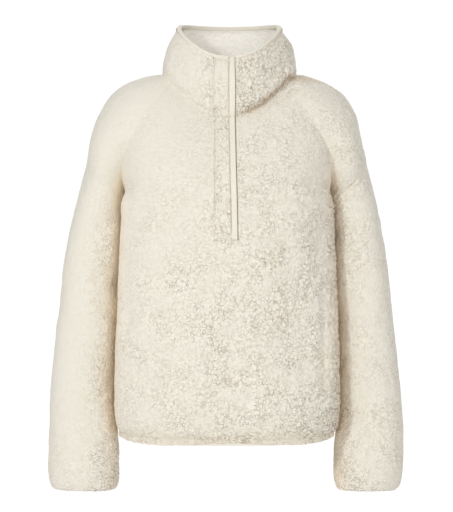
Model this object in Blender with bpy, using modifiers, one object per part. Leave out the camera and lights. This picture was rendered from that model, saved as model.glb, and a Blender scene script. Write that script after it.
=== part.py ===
"""Sherpa fleece pullover, worn form: raglan sleeves, stand collar and a snapped half placket.

The garment is an open hollow form. +X is the viewer's right, -Y the front, +Z up, and the origin is
the base of the wearer's neck, on the line of the shoulders. "left" and "right" are the viewer's.
Every table is in millimetres, and the meshes are in metres.
"""

import math
from collections import namedtuple

import bpy
import bmesh
from mathutils import Matrix, Vector

MM = 0.001
WALL = 6.0            # sherpa: knit ground and its pile
SEAM_GAP = 0.3
FINE = 48             # points on each half of a row before they are spaced out

# Driving sizes of the trim
BAND_LEFT = -20.0     # stitched edge of the snap band
BAND_RIGHT_TOP = Vector((11.5, 0.0, 20.0))      # its bound edge at the collar and at the foot
BAND_RIGHT_LOW = Vector((18.0, 0.0, -272.0))
BINDING_WIDE = 8.0
BAND_PROUD = 1.5
BINDING_PROUD = 2.0
UNDER_BAND_OVERLAP = 6.0
UNDER_BAND_UP = 0.93  # the share of the collar's height that the under band reaches
TRIM_WALL = 5.0
HEM_BINDING_TALL = 7.5
CUFF_BINDING_TALL = 8.0
CUFF_BINDING_BELOW = 6.0   # how far it hangs below the sleeve's rolled end
SNAP_RADIUS = 5.5
SNAP_THICK = 2.4
SNAP_BEVEL = 1.0
SNAP_SEGMENTS = 16
SNAP_X = -3.0
SNAP_TOP_Z = -9.0
SNAP_PITCH = 56.7
SNAP_COUNT = 5

# Where the arms press the sides of the body in
ARM_Y = 2.0
ARM_SPREAD = 62.0

# The body from the hem to the underarm: half width, how far the arm dents it, depth each way, and
# how much higher the row lies at the side seams
Level = namedtuple("Level", "z half dent front back lift")
BODY = (
    Level(-590, 186, 12, 128, 116, 15),
    Level(-574, 191, 13, 137, 123, 9),
    Level(-545, 194, 14, 142, 127, 4),
    Level(-500, 195, 15, 141, 126, 0),
    Level(-450, 194, 16, 139, 124, 0),
    Level(-400, 192, 17, 138, 122, 0),
    Level(-350, 190, 18, 139, 120, 0),
    Level(-310, 189, 20, 142, 119, 0),
    Level(-272, 188, 22, 145, 120, 0),
    Level(-238, 188, 25, 148, 122, 0),
    Level(-205, 187, 27, 150, 125, 0),
)
LIFT_POWER = 7        # the rise stays near the side seams
BODY_SQUARE = 2.6     # power of the superellipse that the body's section follows
SLOT_LEVEL = 8        # the row of BODY where the placket ends

# The raglan seams from the underarm to the neck, one row each, for the right side
Raglan = namedtuple(
    "Raglan", "lean front_x front_y front_z back_x back_y back_z top_left top_right top_y top_z fold full")
RAGLAN = (
    Raglan(0.0, 170, -42, -176, 168, 48, -178, 235, 234, 6, -158, 136, 1.40),
    Raglan(0.0, 168, -65, -146, 165, 72, -149, 229, 228, 6, -126, 104, 1.25),
    Raglan(0.0, 160, -79, -116, 156, 85, -119, 222, 221, 6, -96, 74, 1.15),
    Raglan(0.0, 146, -86, -92, 143, 90, -92, 211, 215, 6, -66, 48, 1.06),
    Raglan(0.0, 129, -86, -67, 126, 87, -66, 196, 199, 5, -38, 30, 1.0),
    Raglan(1.0, 113, -80, -48, 110, 79, -42, 172, 173, 3, -16, 20, 1.0),
    Raglan(2.5, 102, -70, -32, 99, 66, -20, 140, 142, -1, -4, 14, 1.0),
    Raglan(4.5, 93, -58, -18, 88, 52, 0, 106, 115, -5, 1, 12, 1.0),
)

# The chest and the shoulder blades: the middle of the row that ends at each raglan row
Middle = namedtuple("Middle", "front_y front_z back_y back_z reach square")
MIDDLE = (
    Middle(-148, -189, 127, -172, 0.985, 2.60),
    Middle(-144, -171, 128, -142, 0.965, 2.55),
    Middle(-138, -154, 127, -114, 0.940, 2.50),
    Middle(-131, -138, 124, -88, 0.910, 2.40),
    Middle(-123, -122, 118, -63, 0.880, 2.30),
    Middle(-114, -106, 109, -40, 0.850, 2.20),
    Middle(-105, -90, 98, -18, 0.830, 2.10),
    Middle(-95, -74, 86, 3, 0.810, 2.00),
)

# The sleeve from the cuff to the underarm: the side by the body and the side away from it
Ring = namedtuple("Ring", "inner_x inner_z outer_left outer_right outer_z mid_y front back")
SLEEVE = (
    Ring(195, -671, 276, 272, -672, -2, 38, 38),
    Ring(187, -680, 283, 280, -679, -2, 45, 45),
    Ring(180, -677, 290, 286, -675, -2, 51, 52),
    Ring(176.5, -662, 294, 290, -659, -2, 56, 57),
    Ring(176.5, -640, 295, 291.5, -634, -1, 58, 60),
    Ring(177.5, -610, 294, 292, -602, 0, 58, 62),
    Ring(180.5, -570, 292.5, 290.5, -560, 1, 59, 64),
    Ring(182, -520, 290.5, 287, -510, 2, 60, 66),
    Ring(180.5, -465, 286.5, 281.5, -455, 3, 61, 68),
    Ring(177.5, -410, 280, 275.5, -400, 4, 62, 70),
    Ring(174, -355, 273, 269.5, -344, 5, 63, 72),
    Ring(170, -305, 266.5, 263, -293, 5, 64, 74),
    Ring(168, -255, 255.5, 254, -242, 4, 64, 72),
    Ring(163, -207, 243.5, 243.5, -192, 3, 65, 73),
)

# The stand of the collar: how far up it a row is, and how far it bellies out there
Stand = namedtuple("Stand", "up belly")
COLLAR = (
    Stand(0.0, 0), Stand(0.1, 5), Stand(0.25, 8.5), Stand(0.45, 9.5),
    Stand(0.65, 8.5), Stand(0.85, 5.5), Stand(1.0, 0),
)
COLLAR_AXIS = Vector((4.5, -6.0, 0.0))
COLLAR_TOP_HALF = 87.0
COLLAR_TOP_DEEP = 82.0
COLLAR_TOP_BACK_Z = 82.0
COLLAR_TOP_DIP = 66.0
COLLAR_DIP_POWER = 3.0
COLLAR_BACK_BELLY = 0.55
COLLAR_END_GAP = 0.75
COLLAR_COLUMNS = 42

# The largest folds, as troughs (negative) or ridges along a line on the panel, seen from the front
Fold = namedtuple("Fold", "x z tilt long wide depth")
FRONT_FOLDS = (
    Fold(-98, -340, 64, 110, 20, -8.0),
    Fold(-132, -480, 58, 70, 18, -6.5),
    Fold(-58, -470, 84, 130, 34, 6.0),
    Fold(112, -420, 97, 130, 24, -7.0),
    Fold(55, -330, 102, 120, 30, 4.0),
    Fold(146, -275, 82, 80, 17, -7.0),
    Fold(-138, -232, 66, 70, 17, -7.0),
    Fold(70, -225, 70, 80, 22, -4.0),
    Fold(20, -540, 96, 70, 26, -4.5),
)
BACK_FOLDS = (
    Fold(-95, -320, 72, 120, 24, -7.5),
    Fold(85, -370, 106, 130, 26, -7.5),
    Fold(-5, -470, 88, 130, 36, 5.5),
    Fold(-125, -500, 62, 80, 20, -6.5),
    Fold(128, -250, 112, 80, 20, -7.0),
    Fold(0, -150, 94, 110, 40, -4.5),
    Fold(60, -545, 80, 60, 22, -4.5),
)
# Folds across a sleeve: its height, the way round from the body (0) by the front (90), tilt, size
Crease = namedtuple("Crease", "z round tilt long wide depth")
LEFT_CREASES = (
    Crease(-150, 140, 35, 70, 16, -4.0),
    Crease(-222, 55, -35, 80, 18, -7.0),
    Crease(-300, 70, 40, 90, 20, -6.5),
    Crease(-352, 48, -25, 80, 18, -8.0),
    Crease(-410, 105, 30, 110, 24, -5.0),
    Crease(-478, 60, 28, 90, 20, -7.0),
    Crease(-560, 75, -20, 100, 22, -6.0),
    Crease(-618, 130, 15, 80, 20, -4.5),
    Crease(-360, 240, 22, 110, 22, -7.5),
    Crease(-285, 280, -20, 90, 20, -6.5),
    Crease(-470, 225, -16, 100, 22, -6.0),
    Crease(-560, 262, 16, 90, 20, -6.5),
)
RIGHT_CREASES = (
    Crease(-128, 128, 48, 60, 14, -5.5),
    Crease(-168, 95, 30, 70, 15, -6.5),
    Crease(-196, 70, 20, 60, 14, -6.0),
    Crease(-275, 60, -30, 90, 20, -6.5),
    Crease(-345, 85, 28, 100, 22, -5.5),
    Crease(-415, 55, -24, 90, 20, -7.0),
    Crease(-492, 100, 22, 110, 24, -5.0),
    Crease(-575, 65, -18, 90, 20, -6.5),
    Crease(-335, 245, 24, 110, 22, -7.5),
    Crease(-262, 285, -22, 90, 20, -6.5),
    Crease(-445, 230, -18, 100, 22, -6.0),
    Crease(-540, 255, 14, 90, 20, -6.0),
)


# Materials: name, colour, roughness
FLEECE = ("cream_sherpa", (0.80, 0.745, 0.645), 0.95)
KNIT = ("cream_knit_binding", (0.80, 0.75, 0.66), 0.85)
CAP = ("cream_snap_cap", (0.78, 0.72, 0.62), 0.6)


def clear_scene():
    for obj in list(bpy.data.objects):
        bpy.data.objects.remove(obj, do_unlink=True)


def material(look):
    name, colour, roughness = look
    mat = bpy.data.materials.get(name)
    if mat is None:
        mat = bpy.data.materials.new(name)
        mat.use_nodes = True
        shader = mat.node_tree.nodes["Principled BSDF"]
        shader.inputs["Base Color"].default_value = (*colour, 1.0)
        shader.inputs["Roughness"].default_value = roughness
        shader.inputs["Metallic"].default_value = 0.0
    return mat


def add_object(name, bm, look, collection):
    """Put a finished bmesh, in millimetres, into the scene as one node in metres."""
    bmesh.ops.scale(bm, vec=(MM, MM, MM), verts=bm.verts)
    mesh = bpy.data.meshes.new(name)
    bm.to_mesh(mesh)
    bm.free()
    mesh.shade_smooth()
    mesh.materials.append(material(look))
    obj = bpy.data.objects.new(name, mesh)
    collection.objects.link(obj)
    return obj


def add_wall(obj, thick):
    """Give an open sheet its thickness, on the side away from its normals."""
    wall = obj.modifiers.new("wall", "SOLIDIFY")
    wall.thickness = thick * MM
    wall.offset = -1.0
    wall.use_rim = True


# Rows of points

def run_lengths(points):
    lengths = [0.0]
    for a, b in zip(points, points[1:]):
        lengths.append(lengths[-1] + (b - a).length)
    return lengths


def point_at(points, lengths, want):
    """The point that lies a given length along a line of points."""
    for i in range(1, len(points)):
        if lengths[i] >= want or i == len(points) - 1:
            span = lengths[i] - lengths[i - 1]
            part = (want - lengths[i - 1]) / span if span else 0.0
            return points[i - 1].lerp(points[i], max(0.0, min(1.0, part)))
    return points[-1]


def spaced(points, count, start=None, end=None):
    """Count + 1 evenly spaced points along a line, between two lengths along it."""
    lengths = run_lengths(points)
    start = 0.0 if start is None else start
    end = lengths[-1] if end is None else end
    return [point_at(points, lengths, start + (end - start) * i / count) for i in range(count + 1)]


def length_at_x(points, x):
    """How far along a line that runs towards +X it reaches a given x."""
    lengths = run_lengths(points)
    for i in range(1, len(points)):
        if points[i].x >= x:
            part = (x - points[i - 1].x) / (points[i].x - points[i - 1].x)
            return lengths[i - 1] + part * (lengths[i] - lengths[i - 1])
    return lengths[-1]


def with_rows_between(rows, steps, corner=None):
    """Smooth rows in between, through every given row, by the Catmull-Rom rule.

    The ends of the rows may turn sharply at one row, the corner, as an edge does at the armpit.
    """
    if corner is not None:
        smooth = with_rows_between(rows, steps)
        sharp = with_rows_between(rows[:corner + 1], steps)[:-1] + with_rows_between(rows[corner:], steps)
        half = 0.5 * (len(rows[0]) - 1)
        return [[a.lerp(b, abs(c / half - 1.0) ** 4) for c, (a, b) in enumerate(zip(one, other))]
                for one, other in zip(smooth, sharp)]
    out = []
    last = len(rows) - 1
    for i in range(last):
        before, here, there, after = (rows[max(i - 1, 0)], rows[i], rows[i + 1], rows[min(i + 2, last)])
        for step in range(steps):
            t = step / steps
            row = []
            for a, b, c, d in zip(before, here, there, after):
                row.append(0.5 * (2 * b + (c - a) * t + (2 * a - 5 * b + 4 * c - d) * t * t
                                  + (3 * b - a - 3 * c + d) * t * t * t))
            out.append(row)
    out.append(rows[last])
    return out


def loft(rows, skip=None, join_ends=None):
    """Faces between rows of points; skip(row, column) leaves a hole, join_ends(row) closes a ring."""
    bm = bmesh.new()
    verts = []
    for r, row in enumerate(rows):
        line = [bm.verts.new(p) for p in row]
        if join_ends and join_ends(r):
            bm.verts.remove(line[-1])
            line[-1] = line[0]
        verts.append(line)
    for r in range(len(rows) - 1):
        for c in range(len(rows[r]) - 1):
            if skip and skip(r, c):
                continue
            corners = (verts[r][c], verts[r][c + 1], verts[r + 1][c + 1], verts[r + 1][c])
            distinct = list(dict.fromkeys(corners))
            bm.faces.new(distinct)
    loose = [v for v in bm.verts if not v.link_faces]
    bmesh.ops.delete(bm, geom=loose, context="VERTS")
    bm.normal_update()
    return bm


def move_out(bm, amount):
    """Move a sheet along its normals, and further at a bend, so that every face moves as far."""
    moves = []
    for v in bm.verts:
        tilt = sum(v.normal.dot(f.normal) for f in v.link_faces) / len(v.link_faces)
        moves.append((v, v.normal * (amount / max(tilt, 0.5))))
    for v, move in moves:
        v.co += move


def soft_step(value):
    return math.exp(-value * value)


# Body panels

def section_row(edge, middle, reach, square, dent, lean):
    """One row across a panel, from its left edge by its middle to its right edge.

    It is part of a superellipse: reach is how much of its half width the row takes up, so that 1
    ends it square to the side seam, and less lets it run on into the sleeve.
    """
    power = 2.0 / square
    end_angle = math.asin(min(1.0, reach) ** (square / 2.0))
    sin_end = math.sin(end_angle) ** power
    cos_end = max(0.0, math.cos(end_angle)) ** power
    row = []
    for k in range(-FINE, FINE + 1):
        angle = end_angle * abs(k) / FINE
        side = math.copysign(1.0, k)
        across = math.sin(angle) ** power / sin_end
        deep = (max(0.0, math.cos(angle)) ** power - cos_end) / (1.0 - cos_end)
        y = edge.y + (middle.y - edge.y) * deep
        x = side * across * edge.x - side * dent * soft_step((y - ARM_Y) / ARM_SPREAD)
        z = edge.z + (middle.z - edge.z) * (1.0 - across * across)
        row.append(Vector((x + lean, y, z)))
    return row


def panel_rows(front):
    """The fine rows of the front or the back, from the hem to the neck seam."""
    rows = []
    for level in BODY:
        deep = -level.front if front else level.back
        edge = Vector((level.half, ARM_Y, level.z))
        row = section_row(edge, Vector((0, deep, level.z)), 1.0, BODY_SQUARE, level.dent, 0.0)
        rows.append([p + Vector((0, 0, level.lift * abs(p.x / level.half) ** LIFT_POWER)) for p in row])
    for seam, mid in zip(RAGLAN, MIDDLE):
        if front:
            edge = Vector((seam.front_x, seam.front_y, seam.front_z))
            middle = Vector((0, mid.front_y, mid.front_z))
        else:
            edge = Vector((seam.back_x, seam.back_y, seam.back_z))
            middle = Vector((0, mid.back_y, mid.back_z))
        rows.append(section_row(edge, middle, mid.reach, mid.square, 0.0, seam.lean))
    return rows


def binding_right(z):
    """The free edge of the placket slants a little: further right lower down."""
    down = (BAND_RIGHT_TOP.z - z) / (BAND_RIGHT_TOP.z - BAND_RIGHT_LOW.z)
    return BAND_RIGHT_TOP.x + (BAND_RIGHT_LOW.x - BAND_RIGHT_TOP.x) * down


def trim_ends(row, amount):
    """Draw both ends of a row in, for the seam's gap."""
    total = run_lengths(row)[-1]
    return spaced(row, len(row) - 1, amount, total - amount)


def fold_height(folds, point):
    """How far the folds raise or sink a point of a panel that is seen from the front."""
    total = 0.0
    for fold in folds:
        dx = point.x - fold.x
        dz = point.z - fold.z
        along = dx * math.cos(math.radians(fold.tilt)) + dz * math.sin(math.radians(fold.tilt))
        across = -dx * math.sin(math.radians(fold.tilt)) + dz * math.cos(math.radians(fold.tilt))
        total += fold.depth * soft_step(along / (0.5 * fold.long)) * soft_step(across / fold.wide)
    return total


def fold_panel(bm, folds):
    heights = [(v, v.normal.copy(), fold_height(folds, v.co)) for v in bm.verts]
    for v, normal, height in heights:
        v.co += normal * height


ROW_STEPS = 2
FRONT_SIDE_COLUMNS = 11
SLOT_COLUMNS = 2
BACK_COLUMNS = 20


def front_grid():
    """Evenly spaced points of the front, with two columns on the edges of the placket's slot."""
    rows = []
    for fine in panel_rows(True):
        fine = trim_ends(fine, 0.5 * SEAM_GAP)
        middle_z = fine[FINE].z
        slot_left = length_at_x(fine, BAND_LEFT)
        slot_right = length_at_x(fine, binding_right(middle_z))
        left = spaced(fine, FRONT_SIDE_COLUMNS, 0.0, slot_left)
        slot = spaced(fine, SLOT_COLUMNS, slot_left, slot_right)
        right = spaced(fine, FRONT_SIDE_COLUMNS, slot_right)
        rows.append(left + slot[1:] + right[1:])
    return with_rows_between(rows, ROW_STEPS, len(BODY) - 1)


def build_front(collection):
    rows = front_grid()
    slot_start = FRONT_SIDE_COLUMNS
    slot_end = FRONT_SIDE_COLUMNS + SLOT_COLUMNS

    def in_slot(r, c):
        return r >= SLOT_LEVEL * ROW_STEPS and slot_start <= c < slot_end

    bm = loft(rows, skip=in_slot)
    fold_panel(bm, FRONT_FOLDS)
    add_wall(add_object("front_panel", bm, FLEECE, collection), WALL)


def build_back(collection):
    rows = [spaced(trim_ends(fine, 0.5 * SEAM_GAP), BACK_COLUMNS) for fine in panel_rows(False)]
    rows = [list(reversed(row)) for row in with_rows_between(rows, ROW_STEPS, len(BODY) - 1)]
    bm = loft(rows)
    fold_panel(bm, BACK_FOLDS)
    add_wall(add_object("back_panel", bm, FLEECE, collection), WALL)


# Sleeves

def bezier(a, b, c, d, count):
    out = []
    for i in range(count + 1):
        t = i / count
        s = 1.0 - t
        out.append(a * s ** 3 + b * (3 * s * s * t) + c * (3 * s * t * t) + d * t ** 3)
    return out


BACKWARD = Vector((0, 1, 0))


def sleeve_arc(front, top, back, leave_front, leave_back, front_pull, back_pull):
    """From the front seam out over the sleeve to the back seam, in two smooth halves.

    The leave directions are those in which the cloth starts out from each seam.
    """
    first = bezier(front, front + leave_front * front_pull, top - BACKWARD * front_pull, top, FINE)
    second = bezier(top, top + BACKWARD * back_pull, back + leave_back * back_pull, back, FINE)
    return first + second[1:]


SLEEVE_SQUARE = 0.64   # the handles of a quarter round, where a circle's are 0.55


def tube_arc(inner, outer, front_depth, back_depth):
    """A whole ring of the sleeve, from the side by the body round the front and back to it."""
    middle = inner.lerp(outer, 0.5)
    ends = (inner, middle - BACKWARD * front_depth, outer, middle + BACKWARD * back_depth, inner)
    ring = [inner]
    for start, end in zip(ends, ends[1:]):
        at_side = end if start in (ends[1], ends[3]) else start
        at_face = start if at_side is end else end
        corner = Vector((at_side.x, at_face.y, at_side.z))
        quarter = bezier(start, start.lerp(corner, SLEEVE_SQUARE), end.lerp(corner, SLEEVE_SQUARE),
                         end, FINE // 2)
        ring.extend(quarter[1:])
    return ring


def pull(start, end, leave, full):
    """The length of a handle that makes the half arc as round as a circle's, times its fullness."""
    turned = leave.angle(BACKWARD if end.y > start.y else -BACKWARD)
    return full * (end - start).length / 3.0 / math.cos(turned / 4.0) ** 2


def leave_seam(panel, r, fold, side, front):
    """The direction in which the sleeve leaves a panel's edge: on from the panel, folded outward."""
    end = -1 if side > 0 else 0
    near = -2 if side > 0 else 1
    onward = (panel[r][end] - panel[r][near]).normalized()
    above = panel[min(r + 1, len(panel) - 1)][end]
    seam = (above - panel[r - 1][end]).normalized()
    normal = onward.cross(seam).normalized() * side * (1.0 if front else -1.0)
    away = math.radians(fold)
    return onward * math.cos(away) + normal * math.sin(away)


SLEEVE_HALF_COLUMNS = 9


def sleeve_rows(side):
    """The fine rows of one sleeve, cuff to neck; side is -1 for the left and 1 for the right."""
    rows = []
    for ring in SLEEVE:
        outer_x = ring.outer_left if side < 0 else ring.outer_right
        inner = Vector((side * ring.inner_x, ring.mid_y, ring.inner_z))
        outer = Vector((side * outer_x, ring.mid_y, ring.outer_z))
        rows.append(tube_arc(inner, outer, ring.front, ring.back))
    front_panel = panel_rows(True)
    back_panel = panel_rows(False)
    for r, seam in enumerate(RAGLAN, start=len(BODY)):
        top_x = seam.top_left if side < 0 else seam.top_right
        front = Vector((side * seam.front_x + seam.lean, seam.front_y, seam.front_z))
        back = Vector((side * seam.back_x + seam.lean, seam.back_y, seam.back_z))
        top = Vector((side * top_x, seam.top_y, seam.top_z))
        leave_front = leave_seam(front_panel, r, seam.fold, side, True)
        leave_back = leave_seam(back_panel, r, seam.fold, side, False)
        rows.append(sleeve_arc(front, top, back, leave_front, leave_back,
                               pull(front, top, leave_front, seam.full),
                               pull(back, top, leave_back, seam.full)))
    return rows


def sleeve_grid(side):
    """Evenly spaced points of a sleeve, from the body round by the front, with its creases."""
    rows = []
    for r, fine in enumerate(sleeve_rows(side)):
        lengths = run_lengths(fine)
        gap = SEAM_GAP if r >= len(SLEEVE) else 0.0
        first = spaced(fine, SLEEVE_HALF_COLUMNS, gap, lengths[FINE])
        second = spaced(fine, SLEEVE_HALF_COLUMNS, lengths[FINE], lengths[-1] - gap)
        rows.append(first + second[1:])
    rows = with_rows_between(rows, ROW_STEPS, len(SLEEVE) - 1)
    creases = LEFT_CREASES if side < 0 else RIGHT_CREASES
    rows = [crease_row(row, creases, r >= len(SLEEVE) * ROW_STEPS) for r, row in enumerate(rows)]
    return rows if side > 0 else [list(reversed(row)) for row in rows]


def crease_row(row, creases, has_seams):
    """Draw the creased points of a row in towards the middle of the arm, but not its seams."""
    middle = sum(row, Vector()) / len(row)
    girth = run_lengths(row)[-1]
    last = len(row) - 1
    out = []
    for c, point in enumerate(row):
        way = 360.0 * c / last
        total = 0.0
        for crease in creases:
            around = ((way - crease.round + 180.0) % 360.0 - 180.0) / 360.0 * girth
            up = point.z - crease.z
            lean = math.radians(crease.tilt)
            along = around * math.cos(lean) + up * math.sin(lean)
            across = -around * math.sin(lean) + up * math.cos(lean)
            total += crease.depth * soft_step(along / (0.5 * crease.long)) * soft_step(across / crease.wide)
        if has_seams and c in (0, last):
            total = 0.0
        outward = Vector((point.x - middle.x, point.y - middle.y, 0.0)).normalized()
        out.append(point + outward * total)
    return out


def build_sleeve(side, name, collection):
    last_ring = (len(SLEEVE) - 1) * ROW_STEPS
    bm = loft(sleeve_grid(side), join_ends=lambda r: r <= last_ring)
    add_wall(add_object(name, bm, FLEECE, collection), WALL)


def build_cuff_binding(side, name, collection):
    """A knit ring sewn inside the edge of the sleeve's rolled end."""
    ring = SLEEVE[0]
    outer_x = ring.outer_left if side < 0 else ring.outer_right
    inset = 2.0 * SEAM_GAP
    low = ring.inner_z - CUFF_BINDING_BELOW
    rows = []
    for z in (low, low + CUFF_BINDING_TALL):
        inner = Vector((side * (ring.inner_x + inset), ring.mid_y, z))
        outer = Vector((side * (outer_x - inset), ring.mid_y, z))
        row = tube_arc(inner, outer, ring.front - inset, ring.back - inset)
        row = spaced(row, 2 * SLEEVE_HALF_COLUMNS)
        rows.append(row if side > 0 else list(reversed(row)))
    bm = loft(rows, join_ends=lambda r: True)
    add_wall(add_object(name, bm, KNIT, collection), 0.5 * TRIM_WALL)


# Collar

def neck_seam():
    """The neck seam from the slot's right edge round the back to its left edge, as fine points."""
    front = panel_rows(True)[-1]
    back = panel_rows(False)[-1]
    right = sleeve_rows(1)[-1]
    left = sleeve_rows(-1)[-1]
    lengths = run_lengths(front)
    start = length_at_x(front, binding_right(front[FINE].z))
    end = length_at_x(front, BAND_LEFT)
    first = spaced(front, FINE, start, lengths[-1])
    last = spaced(front, FINE, 0.0, end)
    loop = first + right[1:] + list(reversed(back))[1:] + list(reversed(left))[1:] + last[1:]
    return loop


def collar_top(base):
    """The point of the collar's top edge above a point of the neck seam."""
    round_angle = math.atan2(base.x - COLLAR_AXIS.x, -(base.y - COLLAR_AXIS.y))
    to_front = 0.5 * (1.0 + math.cos(round_angle))
    x = COLLAR_AXIS.x + COLLAR_TOP_HALF * math.sin(round_angle)
    y = COLLAR_AXIS.y - COLLAR_TOP_DEEP * math.cos(round_angle)
    z = COLLAR_TOP_BACK_Z - COLLAR_TOP_DIP * to_front ** COLLAR_DIP_POWER
    return Vector((x, y, z))


def collar_point(base, up, belly):
    """A point of the stand, part of the way up it; it bellies out most at the front."""
    top = collar_top(base)
    out = Vector((base.x - COLLAR_AXIS.x, base.y - COLLAR_AXIS.y, 0.0)).normalized()
    fullness = COLLAR_BACK_BELLY + (1.0 - COLLAR_BACK_BELLY) * max(0.0, -out.y)
    return base.lerp(top, up) + out * belly * fullness


def collar_rows(base_line, low=0.0, high=1.0):
    """Rows of the stand over a line of neck seam points, between two shares of its height."""
    rows = []
    for stand in COLLAR:
        up = min(max(stand.up, low), high)
        rows.append([collar_point(base, up, stand.belly) for base in base_line])
    return rows


def raise_line(line, amount):
    """Lift the foot of the collar off the neck seam along the stand."""
    return [base + (collar_top(base) - base).normalized() * amount for base in line]


def build_collar(collection):
    base = neck_seam()
    total = run_lengths(base)[-1]
    line = spaced(base, COLLAR_COLUMNS, COLLAR_END_GAP, total - COLLAR_END_GAP)
    rows = collar_rows(raise_line(line, 2.0 * SEAM_GAP))
    bm = loft(rows)
    add_wall(add_object("collar", bm, FLEECE, collection), WALL)


def front_strip(left, right, columns, top_up, first_level):
    """Rows up the middle of the front and on up the collar, between two edges given as x of z."""
    fine_rows = [trim_ends(row, 0.5 * SEAM_GAP) for row in panel_rows(True)]
    rows = []
    for fine in fine_rows[first_level:]:
        z = fine[FINE].z
        rows.append(spaced(fine, columns, length_at_x(fine, left(z)), length_at_x(fine, right(z))))
    neck = fine_rows[-1]
    neck_z = neck[FINE].z
    foot = spaced(neck, columns, length_at_x(neck, left(neck_z)), length_at_x(neck, right(neck_z)))
    for stand in COLLAR[1:]:
        up = min(stand.up, top_up)
        rows.append([collar_point(base, up, stand.belly) for base in foot])
    return rows


def build_placket(collection):
    """The snap band, the binding on its free edge, and the band that it snaps to."""
    def band_left(z):
        return BAND_LEFT + 2.0 * SEAM_GAP

    def band_right(z):
        return binding_right(z) - BINDING_WIDE - SEAM_GAP

    def binding_left(z):
        return binding_right(z) - BINDING_WIDE

    def binding_end(z):
        return binding_right(z) - SEAM_GAP

    top = front_strip(band_left, band_right, 3, 1.0, SLOT_LEVEL)
    lift_first_row(top, 2.0 * SEAM_GAP)
    bm = loft(top)
    move_out(bm, BAND_PROUD)
    add_wall(add_object("placket_top", bm, FLEECE, collection), WALL)

    edge = front_strip(binding_left, binding_end, 2, 1.0, SLOT_LEVEL)
    lift_first_row(edge, 2.0 * SEAM_GAP)
    edge.append([high + (high - low).normalized() * BINDING_WIDE for low, high in zip(edge[-2], edge[-1])])
    bm = loft(edge)
    move_out(bm, BINDING_PROUD)
    add_wall(add_object("placket_binding", bm, KNIT, collection), WALL)

    def under_left(z):
        return BAND_LEFT - UNDER_BAND_OVERLAP

    def under_right(z):
        return binding_right(z) + UNDER_BAND_OVERLAP

    under = front_strip(under_left, under_right, 4, UNDER_BAND_UP, SLOT_LEVEL)
    bm = loft(under)
    move_out(bm, -WALL - 2.5 * SEAM_GAP)
    add_wall(add_object("placket_under", bm, FLEECE, collection), TRIM_WALL)


def lift_first_row(rows, amount):
    first, second = rows[0], rows[1]
    rows[0] = [a + (b - a).normalized() * amount for a, b in zip(first, second)]


def build_collar_binding(collection):
    """A knit strip that caps the collar's top edge all round, up to the free edge of the band."""
    front = panel_rows(True)[-1]
    neck = neck_seam()
    across = spaced(front, 3, length_at_x(front, BAND_LEFT),
                    length_at_x(front, binding_right(0.0) - BINDING_WIDE - SEAM_GAP))
    loop = neck + across[1:]
    line = spaced(loop, COLLAR_COLUMNS, COLLAR_END_GAP)
    rows = []
    for rise in (2.0 * SEAM_GAP, BINDING_WIDE):
        row = []
        for base in line:
            top = collar_point(base, 1.0, 0.0)
            row.append(top + (top - base).normalized() * rise)
        rows.append(row)
    bm = loft(rows)
    move_out(bm, 0.5)
    add_wall(add_object("collar_binding", bm, KNIT, collection), WALL + 1.0)


# Hem

def build_hem_binding(collection):
    """A narrow knit ring under the hem."""
    front = panel_rows(True)[0]
    back = list(reversed(panel_rows(False)[0]))
    loop = front + back[1:]
    line = spaced(loop, 2 * BACK_COLUMNS + 4)
    rows = []
    for drop in (HEM_BINDING_TALL, 0.0):
        rows.append([p - Vector((0, 0, drop + SEAM_GAP)) for p in line])
    bm = loft(rows, join_ends=lambda r: True)
    move_out(bm, -1.0)
    add_wall(add_object("hem_binding", bm, KNIT, collection), TRIM_WALL)


# Snaps

def build_snaps(collection):
    """Covered caps down the band, each square to the cloth under it."""
    strip = front_strip(lambda z: SNAP_X - 1.0, lambda z: SNAP_X + 1.0, 2, 1.0, SLOT_LEVEL)
    spine = [row[1] for row in strip]
    for number in range(SNAP_COUNT):
        z = SNAP_TOP_Z - number * SNAP_PITCH
        for low, high in zip(spine, spine[1:]):
            if low.z <= z <= high.z:
                break
        seat = low.lerp(high, (z - low.z) / (high.z - low.z))
        along = (high - low).normalized()
        outward = Vector((1, 0, 0)).cross(along).normalized()
        centre = seat + outward * (BAND_PROUD + 2.5 * SEAM_GAP + 0.5 * SNAP_THICK)
        turn = Vector((0, 0, 1)).rotation_difference(outward).to_matrix().to_4x4()
        bm = bmesh.new()
        bmesh.ops.create_cone(bm, cap_ends=True, segments=SNAP_SEGMENTS, radius1=SNAP_RADIUS,
                              radius2=SNAP_RADIUS, depth=SNAP_THICK)
        rim = [e for e in bm.edges if all(v.co.z > 0.0 for v in e.verts)]
        bmesh.ops.bevel(bm, geom=rim, offset=SNAP_BEVEL, segments=2, profile=0.5, affect="EDGES",
                        material=-1)
        bmesh.ops.transform(bm, matrix=Matrix.Translation(centre) @ turn, verts=bm.verts)
        add_object("snap_%d" % (number + 1), bm, CAP, collection)


def build():
    clear_scene()
    collection = bpy.data.collections.new("sherpa_fleece_pullover")
    bpy.context.scene.collection.children.link(collection)
    build_front(collection)
    build_back(collection)
    build_sleeve(-1, "sleeve_left", collection)
    build_sleeve(1, "sleeve_right", collection)
    build_cuff_binding(-1, "cuff_binding_left", collection)
    build_cuff_binding(1, "cuff_binding_right", collection)
    build_collar(collection)
    build_collar_binding(collection)
    build_placket(collection)
    build_hem_binding(collection)
    build_snaps(collection)


build()
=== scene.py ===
"""Looks of a cream sherpa fleece pullover in its worn form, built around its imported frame."""

import math

import bmesh
import bpy
from mathutils import Matrix, Vector, kdtree, noise
from mathutils.bvhtree import BVHTree


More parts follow.
